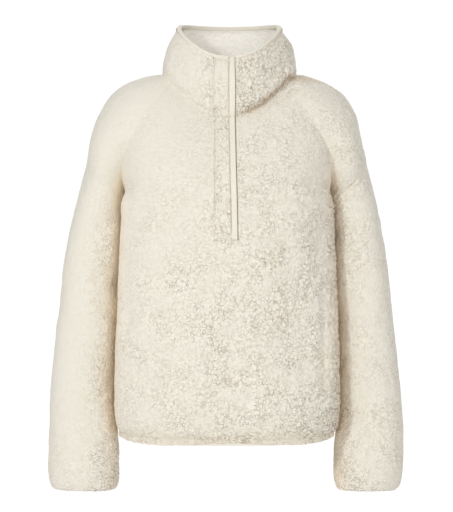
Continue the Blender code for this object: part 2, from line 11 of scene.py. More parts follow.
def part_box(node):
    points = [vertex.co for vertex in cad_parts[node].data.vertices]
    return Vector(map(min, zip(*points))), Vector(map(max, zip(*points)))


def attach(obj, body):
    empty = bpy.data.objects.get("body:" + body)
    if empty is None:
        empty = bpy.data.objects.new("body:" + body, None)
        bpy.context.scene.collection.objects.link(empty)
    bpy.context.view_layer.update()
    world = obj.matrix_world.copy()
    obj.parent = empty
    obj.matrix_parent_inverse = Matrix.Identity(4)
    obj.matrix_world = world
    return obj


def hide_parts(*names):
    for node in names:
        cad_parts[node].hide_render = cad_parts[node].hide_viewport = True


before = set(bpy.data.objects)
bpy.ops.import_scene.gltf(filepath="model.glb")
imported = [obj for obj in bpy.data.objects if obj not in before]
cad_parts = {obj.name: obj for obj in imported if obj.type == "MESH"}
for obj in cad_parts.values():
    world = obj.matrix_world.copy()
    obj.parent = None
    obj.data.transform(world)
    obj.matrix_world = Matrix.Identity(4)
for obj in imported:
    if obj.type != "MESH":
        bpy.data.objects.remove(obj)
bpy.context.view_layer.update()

# ---- Camera, light and floor
# The camera stands level with the middle of the garment, straight in front of it. The light is a
# white studio: a soft light from the upper left front, a wider one from the right, one from behind,
# and an even glow all round. The floor is pale and round, below the hands, before a white backdrop.

scene = bpy.context.scene
scene.view_settings.view_transform = "Standard"

PICTURE_TALL = 512
METRES_A_PIXEL = 0.00165
CAMERA_AWAY = 3.2
CAMERA_Z = -0.297
GLOW = 0.66
WHITE = (1.0, 1.0, 1.0)
LIT_CENTRE = (0.0, 0.0, -0.28)
FLOOR_ROUND = 2.6
FLOOR_Z = -1.42
BACKDROP_ROUND = 14.0
BACKDROP_BRIGHT = 1.02

camera_data = bpy.data.cameras.new("camera")
camera_data.sensor_fit = "VERTICAL"
camera_data.sensor_height = 36.0
camera = bpy.data.objects.new("camera", camera_data)
camera.location = (0.0, -CAMERA_AWAY, CAMERA_Z)
camera.rotation_euler = (math.radians(90), 0.0, 0.0)
camera_data.lens = camera_data.sensor_height * -camera.location.y / (PICTURE_TALL * METRES_A_PIXEL)
scene.collection.objects.link(camera)
scene.camera = camera

surround = bpy.data.worlds.new("studio")
surround.use_nodes = True
surround.node_tree.nodes["Background"].inputs["Color"].default_value = (*WHITE, 1.0)
surround.node_tree.nodes["Background"].inputs["Strength"].default_value = GLOW
scene.world = surround


def soft_light(name, place, size, watts):
    """A square white area light that looks at the middle of the garment."""
    lamp = bpy.data.lights.new(name, "AREA")
    lamp.shape = "SQUARE"
    lamp.size = size
    lamp.energy = watts
    lamp.color = WHITE
    obj = bpy.data.objects.new(name, lamp)
    obj.location = place
    aim = Vector(LIT_CENTRE) - Vector(place)
    obj.rotation_euler = aim.to_track_quat("-Z", "Y").to_euler()
    scene.collection.objects.link(obj)


soft_light("key_light", place=(-1.9, -3.0, 0.8), size=0.5, watts=40.0)
soft_light("fill_light", place=(1.0, -3.4, 0.0), size=1.8, watts=25.0)
soft_light("rear_light", place=(0.6, 3.2, 1.4), size=2.0, watts=60.0)

floor_mesh = bpy.data.meshes.new("floor")
bm = bmesh.new()
bmesh.ops.create_circle(bm, cap_ends=True, segments=96, radius=FLOOR_ROUND)
bmesh.ops.translate(bm, vec=(0.0, 0.0, FLOOR_Z), verts=bm.verts)
bm.to_mesh(floor_mesh)
bm.free()
floor = bpy.data.objects.new("floor", floor_mesh)
scene.collection.objects.link(floor)
floor_finish = bpy.data.materials.new("floor")
floor_finish.use_nodes = True
floor_shader = floor_finish.node_tree.nodes["Principled BSDF"]
floor_shader.inputs["Base Color"].default_value = (0.86, 0.86, 0.85, 1.0)
floor_shader.inputs["Roughness"].default_value = 0.9
floor_mesh.materials.append(floor_finish)

backdrop_mesh = bpy.data.meshes.new("backdrop")
bm = bmesh.new()
bmesh.ops.create_icosphere(bm, subdivisions=3, radius=BACKDROP_ROUND)
bmesh.ops.reverse_faces(bm, faces=bm.faces)
bm.to_mesh(backdrop_mesh)
bm.free()
backdrop = bpy.data.objects.new("backdrop", backdrop_mesh)
scene.collection.objects.link(backdrop)
backdrop.visible_diffuse = False
backdrop.visible_glossy = False
backdrop.visible_transmission = False
backdrop.visible_shadow = False
backdrop_finish = bpy.data.materials.new("backdrop")
backdrop_finish.use_nodes = True
backdrop_shader = backdrop_finish.node_tree.nodes["Principled BSDF"]
backdrop_shader.inputs["Base Color"].default_value = (0.0, 0.0, 0.0, 1.0)
backdrop_shader.inputs["Emission Color"].default_value = (*WHITE, 1.0)
backdrop_shader.inputs["Emission Strength"].default_value = BACKDROP_BRIGHT
backdrop_mesh.materials.append(backdrop_finish)

# ---- Front panel
# One piece of sherpa between the side seams and the raglan seams: a knit ground with a curly pile,
# 6 mm thick in all, cream, painted darker and warmer between the curls as shade. A slot in it takes
# the placket.


class Value:
    """A socket of a shader node that takes part in Python expressions."""

    def __init__(self, finish, socket):
        self.finish = finish
        self.socket = socket

    def combine(self, operation, first, second):
        return self.finish.node("ShaderNodeMath", {"operation": operation}, {0: first, 1: second})

    def __add__(self, other):
        return self.combine("ADD", self, other)

    __radd__ = __add__

    def __sub__(self, other):
        return self.combine("SUBTRACT", self, other)

    def __rsub__(self, other):
        return self.combine("SUBTRACT", other, self)

    def __mul__(self, other):
        return self.combine("MULTIPLY", self, other)

    __rmul__ = __mul__

    def clamped(self):
        return self.finish.node("ShaderNodeClamp", {}, {"Value": self})


class Finish:
    """A material on a Principled shader, made node by node."""

    def __init__(self, name, roughness, sheen=0.0, sheen_roughness=0.5, specular=0.3):
        self.material = bpy.data.materials.new(name)
        self.material.use_nodes = True
        self.tree = self.material.node_tree
        self.shader = self.tree.nodes["Principled BSDF"]
        self.shader.inputs["Roughness"].default_value = roughness
        self.shader.inputs["Sheen Weight"].default_value = sheen
        self.shader.inputs["Sheen Roughness"].default_value = sheen_roughness
        self.shader.inputs["Specular IOR Level"].default_value = specular

    def node(self, kind, settings, inputs, output=0):
        """A shader node with its settings and inputs, as the value of one of its outputs."""
        made = self.tree.nodes.new(kind)
        for key, value in settings.items():
            setattr(made, key, value)
        for key, value in inputs.items():
            self.plug(value, made.inputs[key])
        return Value(self, made.outputs[output])

    def plug(self, value, socket):
        if isinstance(value, Value):
            self.tree.links.new(value.socket, socket)
        else:
            socket.default_value = value

    def place(self):
        return self.node("ShaderNodeTexCoord", {}, {}, "Object")

    def attribute(self, name):
        return self.node("ShaderNodeAttribute", {"attribute_name": name}, {}, "Fac")

    def grain(self, size, detail=2.0, roughness=0.5):
        """Noise with features of a given size, in metres."""
        return self.node("ShaderNodeTexNoise", {}, {
            "Vector": self.place(), "Scale": 1.0 / size, "Detail": detail, "Roughness": roughness})

    def blend(self, part, low, high):
        """A colour between two, each of three numbers or a value."""
        ends = [end if isinstance(end, Value) else (*end, 1.0) for end in (low, high)]
        return self.node("ShaderNodeMix", {"data_type": "RGBA"}, {0: part, 6: ends[0], 7: ends[1]}, 2)

    def paint(self, colour, height, depth):
        """The material, in a colour and with a relief of a depth in metres."""
        self.plug(colour, self.shader.inputs["Base Color"])
        bump = self.node("ShaderNodeBump", {}, {"Strength": 1.0, "Distance": depth, "Height": height},
                         "Normal")
        self.plug(bump, self.shader.inputs["Normal"])
        return self.material


GAP_PITCH = 0.0054         # metres from one gap between curls to the next
GAP_SHARP = 9.0
LOCK_WIDE = 0.0030         # a lock is a few fibres that curl together
FIBRE_WIDE = 0.0014
SWAY_WIDE = 0.0052
SWAY = 0.0060
OPEN_WIDE = 0.0065         # the gaps open and close again over this length
CURL_RELIEF = 0.0014
WARM_SHADE = (0.985, 0.84, 0.66)     # light that comes off another piece of the cloth


def sherpa(name, deep, brushed_tip, curled_tip):
    """Curly pile, from the colours between the curls and on their tips, brushed out and curled; the
    colour between the curls is painted shade.
    """
    fleece = Finish(name, 0.95, sheen=0.08, sheen_roughness=0.6, specular=0.12)
    sway = fleece.node("ShaderNodeTexNoise", {}, {
        "Vector": fleece.place(), "Scale": 1.0 / SWAY_WIDE, "Detail": 1.0}, "Color")
    drift = fleece.node("ShaderNodeVectorMath", {"operation": "MULTIPLY_ADD"}, {
        0: sway, 1: (SWAY, SWAY, SWAY), 2: fleece.place()})
    from_gap = fleece.node("ShaderNodeTexVoronoi", {"feature": "DISTANCE_TO_EDGE"}, {
        "Vector": drift, "Scale": 1.0 / GAP_PITCH}, "Distance")
    nap = fleece.attribute("nap")
    fibre = fleece.grain(FIBRE_WIDE, 2.0, 0.6)
    lock = fleece.node("ShaderNodeTexNoise", {}, {
        "Vector": drift, "Scale": 1.0 / LOCK_WIDE, "Detail": 1.0})
    open_part = (fleece.grain(OPEN_WIDE, 1.0) * 3.6 - 1.2).clamped()
    gap = (1.0 - (from_gap * GAP_SHARP).clamped()) * (open_part * 0.85 + 0.15)
    # Painted shade: the gaps between the curls are darkened, and the locks that stand higher are
    # painted lighter.
    painted_curl_shading = (lock - 0.5) * 0.45 - gap * 0.46
    # The pile attribute carries the height of the curls, so the tips are painted lighter than the
    # shade between them.
    tip_share = (fleece.attribute("pile") * 0.50 + 0.60 + painted_curl_shading * nap).clamped()
    relief = (fibre * 0.2 + lock * 1.5 - gap * 0.75) * nap
    pile_colour = fleece.blend(tip_share, deep, fleece.blend(nap, brushed_tip, curled_tip))
    shaded_colour = fleece.blend(fleece.attribute("shade"), pile_colour, WARM_SHADE)
    return fleece.paint(shaded_colour, relief, CURL_RELIEF)


pile_finish = sherpa("cream_sherpa_pile", deep=(0.57, 0.435, 0.29), brushed_tip=(0.745, 0.718, 0.636),
                     curled_tip=(0.88, 0.84, 0.742))

LOOP_WIDE = 0.0016
LOOP_RELIEF = 0.0006
ground = Finish("cream_knit_ground", 0.9, sheen=0.1, specular=0.2)
loops = ground.node("ShaderNodeTexVoronoi", {"feature": "F1"},
                    {"Vector": ground.place(), "Scale": 1.0 / LOOP_WIDE}, "Distance")
ground_colour = ground.blend(loops, (0.86, 0.83, 0.745), (0.76, 0.71, 0.61))
ground_finish = ground.paint(ground_colour, loops, -LOOP_RELIEF)

MM = 0.001
MERGE = 0.00001
SHARP_EDGE = math.radians(72)
PILE, KNIT, RIM = 0, 1, 2


def merged(node):
    """A copy of a CAD node's mesh: merged, and with its triangles paired."""
    bm = bmesh.new()
    bm.from_mesh(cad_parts[node].data)
    bmesh.ops.remove_doubles(bm, verts=bm.verts, dist=MERGE)
    bmesh.ops.join_triangles(bm, faces=bm.faces, angle_face_threshold=math.radians(40),
                             angle_shape_threshold=math.radians(60))
    bm.normal_update()
    return bm


def mark_sides(bm, axis_x):
    """Mark a cloth wall's outer face as pile, its inner face as knit and its cut edge as rim."""
    group_of = {}
    groups = []
    for start in bm.faces:
        if start in group_of:
            continue
        group = [start]
        group_of[start] = len(groups)
        for face in group:
            for edge in face.edges:
                if edge.calc_face_angle(0.0) > SHARP_EDGE:
                    continue
                for other in edge.link_faces:
                    if other not in group_of:
                        group_of[other] = len(groups)
                        group.append(other)
        groups.append(group)
    groups.sort(key=lambda group: -sum(face.calc_area() for face in group))

    def faces_out(group):
        total = 0.0
        for face in group:
            centre = face.calc_center_median()
            total += face.calc_area() * face.normal.dot(Vector((centre.x - axis_x, centre.y, 0.0)))
        return total

    outer = max(groups[:2], key=faces_out)
    inner = min(groups[:2], key=faces_out)
    for group in groups:
        for face in group:
            face.material_index = PILE if group is outer else KNIT if group is inner else RIM
    sharp = bm.edges.layers.float.new("crease_edge")
    for edge in bm.edges:
        if edge.calc_face_angle(0.0) > SHARP_EDGE:
            edge[sharp] = 1.0


def smoothed(bm, name, levels):
    """The same mesh with its Subdivision Surface applied."""
    mesh = bpy.data.meshes.new(name)
    bm.to_mesh(mesh)
    bm.free()
    obj = bpy.data.objects.new(name, mesh)
    scene.collection.objects.link(obj)
    rounding = obj.modifiers.new("rounding", "SUBSURF")
    rounding.levels = levels
    rounding.render_levels = levels
    seen = obj.evaluated_get(bpy.context.evaluated_depsgraph_get())
    out = bmesh.new()
    out.from_mesh(bpy.data.meshes.new_from_object(seen))
    bpy.data.objects.remove(obj)
    return out


NUB_PITCH = 5.4            # millimetres from one nub of pile to the next
NUB_SIDE = 0.42            # the share of the pitch in which a nub rises from its gap
NUB_SWAY = 2.4
NUB_SWAY_WIDE = 4.4
TUFT_WIDE = 3.2
noise.seed_set(3)          # keeps the sway of the nubs the same each time


def curls(point):
    """How high the pile stands at a point in millimetres, from 0 between curls to 1 on a tip."""
    bent = point + NUB_SWAY * noise.noise_vector(point / NUB_SWAY_WIDE)
    near, next_near = noise.voronoi(bent / NUB_PITCH)[0][:2]
    nub = min(1.0, (next_near - near) / NUB_SIDE)
    nub = nub * (2.0 - nub)
    return 0.72 * nub + 0.28 * (0.5 + noise.noise(point / TUFT_WIDE))


def trough(across, up, crease):
    """How deep a crease is at a place on the cloth; across and up are in millimetres."""
    x, z, tilt, long, wide, depth = crease
    lean = math.radians(tilt)
    dx = across - x
    dz = up - z
    along = (dx * math.cos(lean) + dz * math.sin(lean)) / (0.5 * long)
    side = (-dx * math.sin(lean) + dz * math.cos(lean)) / wide
    return depth * math.exp(-along * along - side * side)


def in_patches(crisp, point, least, patchy=0.8, wide=36.0):
    """Crispness at a point: more in some patches, of a width in millimetres, and less in others."""
    return max(least, min(1.0, crisp * (1.0 + patchy * noise.noise(point / wide))))


def brushed(point):
    """How crisp the curls are at a point: in patches, softest at the upper left."""
    to_right = math.tanh((point.x + 20.0) / 110.0)
    to_top = math.tanh((point.z + 230.0) / 110.0)
    return in_patches(0.49 + 0.22 * to_right - 0.17 * to_top, point, least=0.10)


def no_shade(point, normal):
    """For cloth that no other piece shades."""
    return 0.0


NECK_X = 4.0
NECK_HALF_WIDE = 95.0
NECK_SEAM_DIP = 70.0       # how far the neck seam's lowest point is below the origin
NECK_SEAM_RISE = 62.0


def above_the_neck_seam(point):
    """How far a place at the front lies above the neck seam, in millimetres."""
    from_centre = min(1.0, abs(point.x - NECK_X) / NECK_HALF_WIDE)
    return point.z + NECK_SEAM_DIP - NECK_SEAM_RISE * from_centre ** 2


def at_the_front(point):
    """1 on the front of the neck, 0 at its sides and back."""
    return max(0.0, min(1.0, (-point.y - 20.0) / 30.0))


ROLL_SHADE_TALL = 6.5


def under_the_roll(point):
    """1 where the collar's roll shades the seam below it, at the right of the front."""
    right = 0.5 + 0.5 * math.tanh((point.x - 28.0) / 20.0)
    above = (above_the_neck_seam(point) - 1.0) / ROLL_SHADE_TALL
    return right * at_the_front(point) * math.exp(-above ** 2)


ARM_CREASE_X = 178.0       # where the body and an arm meet at the underarm
ARM_CREASE_OUT = 10.0      # and how much further out lower down
ARM_SHADE_WIDE = 26.0
UNDERARM_Z = -130.0


def painted_shade_beside_arm(point, normal):
    """Near 1 where the cloth of the body faces an arm, or that of an arm faces the body: how much
    warm light, bounced off the other piece, is painted into the colour there as shade.
    """
    edge = ARM_CREASE_X + ARM_CREASE_OUT * min(1.0, max(0.0, -point.z - 200.0) / 300.0)
    near = 1.0 - min(1.0, abs(abs(point.x) - edge) / ARM_SHADE_WIDE)
    down = min(1.0, max(0.0, UNDERARM_Z - point.z) / 60.0)
    level = math.hypot(normal.x, normal.y)
    facing = abs(normal.x) / max(level, 0.01)
    return 0.85 * near * down * max(0.0, (facing - 0.45) / 0.55)


HEM_EDGE_Z = -588.0
RIGHT_CREASE_X = 177.0


def painted_shade_share(point, shade):
    """How much more of the colour between the curls is painted in as shade: under the roll, along the
    hem, by the right arm.
    """
    hem = 0.0
    # Painted shade along the hem's lower edge, where the cloth turns under.
    if abs(point.x) < 176.0:
        hem = math.exp(-((point.z - HEM_EDGE_Z) / 10.0) ** 2)
    # Painted shade in the crease by the right arm, darkest along the crease itself.
    right_arm_shade = 0.0
    if point.x > 0.0:
        right_arm_shade = shade * (0.5 + 1.5 * math.exp(-((point.x - RIGHT_CREASE_X) / 5.0) ** 2))
    return 1.3 * under_the_roll(point) + 0.4 * hem + right_arm_shade


SEAM_CLOSE = 0.9           # how far, in millimetres, the pile at a seam reaches over it
MEAN_TIP = 0.66
MEAN_CURL = 0.45


def lumps(point):
    """How far the cloth swells at a point, in soft lumps of two sizes."""
    return noise.noise(point / 21.0) * 0.8 + noise.noise(point / 47.0) * 0.9


def fleece_piece(name, nodes, axis_x, creases, unroll, pile_deep=2.8, levels=2, cuts=1, shape=None,
                 lip=None, crispness=brushed, shaded=no_shade, inside=ground_finish, seam_wide=6.0):
    """Sherpa on the form of a CAD node: creased, then raised into curls on its outer side.

    Its inner side is curly too where the inside isn't the knit ground. Lengths are in millimetres,
    but for axis_x, which is in metres.
    """
    bm = merged(nodes[0])
    mark_sides(bm, axis_x)
    bm = smoothed(bm, name, levels)
    raised = {PILE} if inside is ground_finish else {PILE, KNIT}
    if cuts:
        outer_edges = [edge for edge in bm.edges
                       if any(face.material_index == PILE for face in edge.link_faces)]
        bmesh.ops.subdivide_edges(bm, edges=outer_edges, cuts=cuts, use_grid_fill=True)
    pile = bm.verts.layers.float.new("pile")
    nap = bm.verts.layers.float.new("nap")
    shade_layer = bm.verts.layers.float.new("shade")
    border = []
    moves = []
    for vert in bm.verts:
        outer = [face for face in vert.link_faces if face.material_index in raised]
        if not outer:
            vert[pile] = 0.5
            vert[nap] = 0.5
            continue
        normal = sum((face.normal for face in outer), Vector()).normalized()
        at_border = len(outer) < len(vert.link_faces)
        if at_border:
            border.append(vert)
        moves.append((vert, normal, at_border))
    tree = kdtree.KDTree(len(border))
    for index, vert in enumerate(border):
        tree.insert(vert.co, index)
    tree.balance()
    shifts = []
    for vert, normal, at_border in moves:
        point = vert.co / MM
        far = tree.find(vert.co)[2] / MM
        free = min(1.0, far / seam_wide)
        free = free * free * (3.0 - 2.0 * free)
        tip = curls(point)
        crisp = crispness(point)
        across, up = unroll(point)
        sunk = sum(trough(across, up, crease) for crease in creases)
        rise = shape(point) if shape else 0.0
        shade = shaded(point, normal)
        # The colour follows the height of the curls, with painted shade between them, and takes more
        # painted shade under the collar's roll, along the hem and by the right arm.
        vert[pile] = MEAN_TIP + (tip - MEAN_TIP) * (0.08 + 0.88 * crisp) - painted_shade_share(point, shade)
        vert[nap] = crisp
        vert[shade_layer] = shade
        curl_height = pile_deep * (0.15 + 0.72 * crisp) * (tip - MEAN_CURL)
        from_axis = Vector((vert.co.x - axis_x, vert.co.y, 0.0))
        outward = 1.0 if normal.dot(from_axis) > 0.0 else -1.0
        height = (0.5 + 0.5 * free) * curl_height + outward * free * (lumps(point) + sunk + rise)
        shift = normal * (height * MM)
        if at_border:
            rim = sum((face.normal for face in vert.link_faces if face not in outer), Vector())
            shift += rim.normalized() * (SEAM_CLOSE * MM)
            if lip:
                shift += lip(point, normal) * MM
        shifts.append((vert, shift))
    for vert, shift in shifts:
        vert.co += shift
    for edge in bm.edges:
        edge.smooth = len({face.material_index for face in edge.link_faces}) == 1
    return finished(bm, name, nodes, (pile_finish, inside, pile_finish))


def finished(bm, name, nodes, materials):
    """The object of a piece, in place of its CAD nodes and riding on the garment."""
    for face in bm.faces:
        face.smooth = True
    mesh = bpy.data.meshes.new(name)
    bm.to_mesh(mesh)
    bm.free()
    for material in materials:
        mesh.materials.append(material)
    obj = bpy.data.objects.new(name, mesh)
    scene.collection.objects.link(obj)
    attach(obj, "root")
    if nodes:
        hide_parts(*nodes)
    return obj


def seen_from_front(point):
    """The way across and the height, in millimetres."""
    return point.x, point.z


# Each crease is across, up, tilt in degrees, length, half width and depth.
FRONT_CREASES = (
    (-98, -8, -50, 60, 10, -1.6),
    (-60, -290, 50, 70, 12, -2.2),
    (-95, -250, 75, 50, 9, -1.8),
    (60, -150, 60, 60, 12, -1.4),
    (95, -300, 110, 70, 12, -1.8),
    (20, -400, 80, 90, 14, -1.6),
    (-20, -470, 70, 60, 10, -1.6),
    (80, -520, 30, 60, 11, -1.8),
    (-120, -420, 62, 60, 10, -2.2),
    (156, -422, 90, 150, 5, -3.2),
    (-158, -402, 80, 40, 5, -2.2),
)
HEM_Z = -572.0
HEM_BARE_X = 5.0           # round here the hem's binding shows below the pile
HEM_BARE_HALF_WIDE = 95.0
BAND_SEAM_X = -20.0        # where the snap band is sewn to the front
SLOT_RIGHT_X = (8.0, 24.0)     # the slot's other edge slants between these


def over_the_binding(point, normal):
    """The pile hangs over the hem's binding, and meets the snap band but not the band's free edge."""
    if point.z < HEM_Z:
        from_bare = min(1.0, abs(point.x - HEM_BARE_X) / HEM_BARE_HALF_WIDE)
        down = 2.6 + 5.0 * from_bare ** 2 + 1.4 * noise.noise(point / 7.0)
        return Vector((normal.x, normal.y, 0.0)) * 1.2 - Vector((0.0, 0.0, down))
    if point.y < 0.0 and abs(point.x - BAND_SEAM_X) < 3.0:
        return normal * 1.4
    if point.y < 0.0 and SLOT_RIGHT_X[0] < point.x < SLOT_RIGHT_X[1]:
        return Vector((1.7, 0.0, 0.0)) - normal * 1.0
    return Vector()


HOLLOW_X = 163.0
HOLLOW_Z = -463.0
HOLLOW_WIDE = 8.0


def in_shade(point, normal):
    """The cloth is in shade beside the arms, and a little in the upright hollow at the right."""
    across = (point.x - HOLLOW_X) / HOLLOW_WIDE
    up = (point.z - HOLLOW_Z) / 36.0
    hollow = 0.3 * math.exp(-across * across - up * up) if point.y < 0.0 else 0.0
    return max(hollow, painted_shade_beside_arm(point, normal))


def brushed_front(point):
    """The curls are crisp on the roll beside each arm, and flat in the hollow at the right."""
    across = (point.x - HOLLOW_X) / HOLLOW_WIDE
    up = (point.z - HOLLOW_Z) / 40.0
    roll = math.exp(-((abs(point.x) - 180.0) / 10.0) ** 2) * (0.95 if point.x > 0.0 else 0.5)
    return max(brushed(point), roll) * (1.0 - 0.5 * math.exp(-across * across - up * up))


def full_beside_the_arm(point):
    """The body rolls out to each arm, and most of all at the right, where the nubs stand out."""
    if abs(point.y) <= 40.0:
        return 0.0
    below_the_arm = min(1.0, max(0.0, -point.z - 150.0) / 60.0)
    beside = math.exp(-((abs(point.x) - 172.0) / 11.0) ** 2) * below_the_arm
    return (3.0 + 4.5 * (curls(point) - MEAN_CURL) if point.x > 0.0 else 1.5) * beside


front = fleece_piece("front", ["front_panel"], 0.0, FRONT_CREASES, seen_from_front,
                     lip=over_the_binding, shape=full_beside_the_arm, crispness=brushed_front,
                     shaded=in_shade)

# ---- Back panel
# One piece of the same sherpa, with folds of its own below the shoulder blades.

BACK_CREASES = (
    (-60, -220, 40, 70, 12, -2.0),
    (70, -260, 130, 80, 12, -2.2),
    (-90, -420, 60, 70, 11, -2.0),
    (95, -460, 115, 80, 12, -2.0),
    (10, -350, 92, 90, 14, -1.6),
    (30, -540, 70, 60, 10, -1.8),
)
back = fleece_piece("back", ["back_panel"], 0.0, BACK_CREASES, seen_from_front, lip=over_the_binding,
                    shaded=painted_shade_beside_arm)

# ---- Sleeves
# Raglan sleeves, each one piece: a whole tube below the underarm that rolls in at the cuff, and
# open above it between the raglan seams up to the neck.

SLEEVE_AXIS = 232.0
SLEEVE_ROUND = 58.0


def round_the_arm(side):
    """The way round an arm from its front, in millimetres, and the height."""
    def unroll(point):
        out = side * point.x - SLEEVE_AXIS
        return math.atan2(out, -point.y) * SLEEVE_ROUND, point.z
    return unroll


LEFT_SLEEVE_CREASES = (
    (10, -180, 30, 60, 11, -1.8),
    (-40, -260, 40, 60, 10, -2.4),
    (-30, -330, -30, 60, 10, -2.4),
    (-45, -390, 30, 60, 10, -2.6),
    (30, -450, 15, 70, 12, -1.6),
    (-40, -520, -25, 60, 10, -2.4),
    (-20, -590, 20, 60, 10, -2.2),
    (120, -380, 30, 80, 12, -2.2),
    (-130, -300, -30, 70, 12, -2.4),
    (150, -500, -20, 80, 12, -2.2),
)
RIGHT_SLEEVE_CREASES = (
    (20, -140, 50, 50, 9, -2.4),
    (0, -190, 35, 60, 10, -2.4),
    (-45, -250, 35, 60, 10, -2.2),
    (-35, -320, -30, 70, 11, -2.4),
    (20, -400, 20, 70, 12, -1.6),
    (-40, -460, 30, 60, 10, -2.4),
    (-25, -560, -20, 60, 10, -2.4),
    (130, -350, 25, 80, 12, -2.2),
    (-130, -420, -30, 70, 12, -2.4),
    (150, -540, -20, 80, 12, -2.2),
)


# How crisp the curls are outside, how crisp by the body, and the height below which that starts.
LEFT_SLEEVE_CURLS = (0.11, 0.66, -235.0)
RIGHT_SLEEVE_CURLS = (0.40, 0.50, -170.0)
CUFF_CURLS_Z = -600.0


def sleeve_curls(point):
    """Crisp on the side by the body and at the cuff, soft outside and at the shoulder."""
    outside, by_body, top = RIGHT_SLEEVE_CURLS if point.x > 0.0 else LEFT_SLEEVE_CURLS
    near = math.exp(-((abs(point.x) - 190.0) / 34.0) ** 2)
    below = 0.5 - 0.5 * math.tanh((point.z - top) / 60.0)
    cuff = 0.5 - 0.5 * math.tanh((point.z - CUFF_CURLS_Z) / 40.0)
    return in_patches(outside + (by_body - outside) * near * below + 0.2 * cuff, point, least=0.06)


for name, node, side, creases in (
        ("left_sleeve", "sleeve_left", -1.0, LEFT_SLEEVE_CREASES),
        ("right_sleeve", "sleeve_right", 1.0, RIGHT_SLEEVE_CREASES)):
    sleeve = fleece_piece(name, [node], side * SLEEVE_AXIS * MM, creases, round_the_arm(side),
                          crispness=sleeve_curls, shaded=painted_shade_beside_arm)

# ---- Collar
# A stand of the same sherpa, sewn to the neck seam and open at the centre front. Its inner side is
# painted with light, in paler colours and with a faint warm glow, to keep it nearly as bright as the
# outer one.

NECK_ROUND = 90.0
PAINTED_GLOW_INSIDE = 0.07


def round_the_neck(point):
    """The way round the neck from its front, in millimetres, and the height."""
    return math.atan2(point.x, -point.y) * NECK_ROUND, point.z


COLLAR_CREASES = (
    (-40, -35, 15, 40, 7, -1.8),
    (50, -30, -20, 50, 8, -2.0),
    (95, -20, 30, 40, 8, -2.0),
    (-110, 0, -20, 50, 8, -1.8),
    (160, 20, 15, 60, 9, -1.8),
    (-190, 30, -15, 60, 9, -1.8),
)


def rolled_over(point):
    """The stand slumps over its seam, most at the right of the front, and is full at its sides."""
    right = 0.5 + 0.5 * math.tanh((point.x - 5.0) / 35.0)
    above = (above_the_neck_seam(point) - 10.0) / 11.0
    roll = (1.0 + 4.6 * right) * at_the_front(point) * math.exp(-above * above)
    aside = max(0.0, min(1.0, (abs(point.x - NECK_X) - 50.0) / 25.0))
    top_side = (0.8 + 2.6 * right) * aside * math.exp(-((point.z - 46.0) / 20.0) ** 2)
    return roll + top_side


def collar_curls(point):
    """Crisp at the right of the front, where the light grazes the roll, and soft at the back."""
    front_share = 0.5 - 0.5 * math.tanh((point.y + 30.0) / 25.0)
    to_right = math.tanh((point.x + 26.0) / 26.0)
    return in_patches(0.24 + front_share * (0.38 + 0.38 * to_right), point, least=0.12,
                      patchy=0.7, wide=20.0)


def over_its_seams(point, normal):
    """The pile hangs over the neck seam below, and stands up against the binding above.

    It stands highest at the inner side of the binding.
    """
    if point.z < 10.0:
        return Vector((0.0, 0.0, -1.2)) + normal * 0.6
    if normal.x * (point.x - NECK_X) + normal.y * point.y < 0.0:
        return Vector((0.0, 0.0, 2.6)) + normal * 2.0
    return Vector((0.0, 0.0, 1.6)) + normal * 1.3


# Painted light: a paler copy of the sherpa for the inside of the collar, with a faint warm glow
# though no lamp is there.
painted_light_inside = sherpa("sherpa_inside_painted_light", deep=(0.86, 0.79, 0.68),
                       brushed_tip=(0.975, 0.95, 0.885), curled_tip=(0.985, 0.96, 0.895))
inside_shader = painted_light_inside.node_tree.nodes["Principled BSDF"]
inside_shader.inputs["Emission Color"].default_value = (1.0, 0.95, 0.86, 1.0)
inside_shader.inputs["Emission Strength"].default_value = PAINTED_GLOW_INSIDE
collar = fleece_piece("stand_collar", ["collar"], NECK_X * MM, COLLAR_CREASES, round_the_neck,
                      pile_deep=3.6, levels=3, cuts=0, shape=rolled_over, lip=over_its_seams,
                      crispness=collar_curls, inside=painted_light_inside)

# ---- Placket
# The band laps left over right and is held by five snaps; each draws the pile in and leaves a puff
# between it and the next. A smooth knit binding runs down the free edge.

SNAP_COUNT = 5
SNAPS = [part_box("snap_%d" % (number + 1)) for number in range(SNAP_COUNT)]
SNAP_CENTRES = [(low + high) * 0.5 / MM for low, high in SNAPS]
BAND_FOOT_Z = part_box("placket_top")[0].z / MM
PUFF = 4.6
PINCH = 5.0
PINCH_ROUND = 5.6
PRESSED_FROM_Z = -22.0


def drawn_in_at_snaps(point):
    """The band sinks round each snap and at its foot, and puffs up between them."""
    nearest = min((point - centre).length for centre in SNAP_CENTRES)
    pinched_foot = 3.5 * math.exp(-((point.z - BAND_FOOT_Z - 7.0) / 4.5) ** 2)
    return PUFF - PINCH * math.exp(-(nearest / PINCH_ROUND) ** 2) - pinched_foot


def band_curls(point):
    """Crisp between the lower snaps, and pressed smooth at the neck and above."""
    pressed = 0.5 + 0.5 * math.tanh((point.z - PRESSED_FROM_Z) / 12.0)
    return in_patches(0.68 - 0.46 * pressed, point, least=0.12, patchy=0.9, wide=14.0)


def over_its_edges(point, normal):
    """The pile reaches over the inner edge of the binding and down at the foot."""
    if point.z < BAND_FOOT_Z + 3.0:
        return Vector((0.0, 0.0, -1.0)) - normal * 0.8
    return Vector((0.3, 0.0, 0.0)) + normal * 1.2 if point.x > -8.0 else Vector()


band = fleece_piece("snap_band", ["placket_top"], 0.0, (), seen_from_front, pile_deep=2.2, levels=4,
                    cuts=0, shape=drawn_in_at_snaps, lip=over_its_edges, crispness=band_curls,
                    seam_wide=3.5)
under_band = fleece_piece("under_band", ["placket_under"], 0.0, (), seen_from_front, levels=2, cuts=1)

# ---- Stitches of the placket
# A row of cream thread down the seam of the band and across its foot, mostly sunk in the pile.

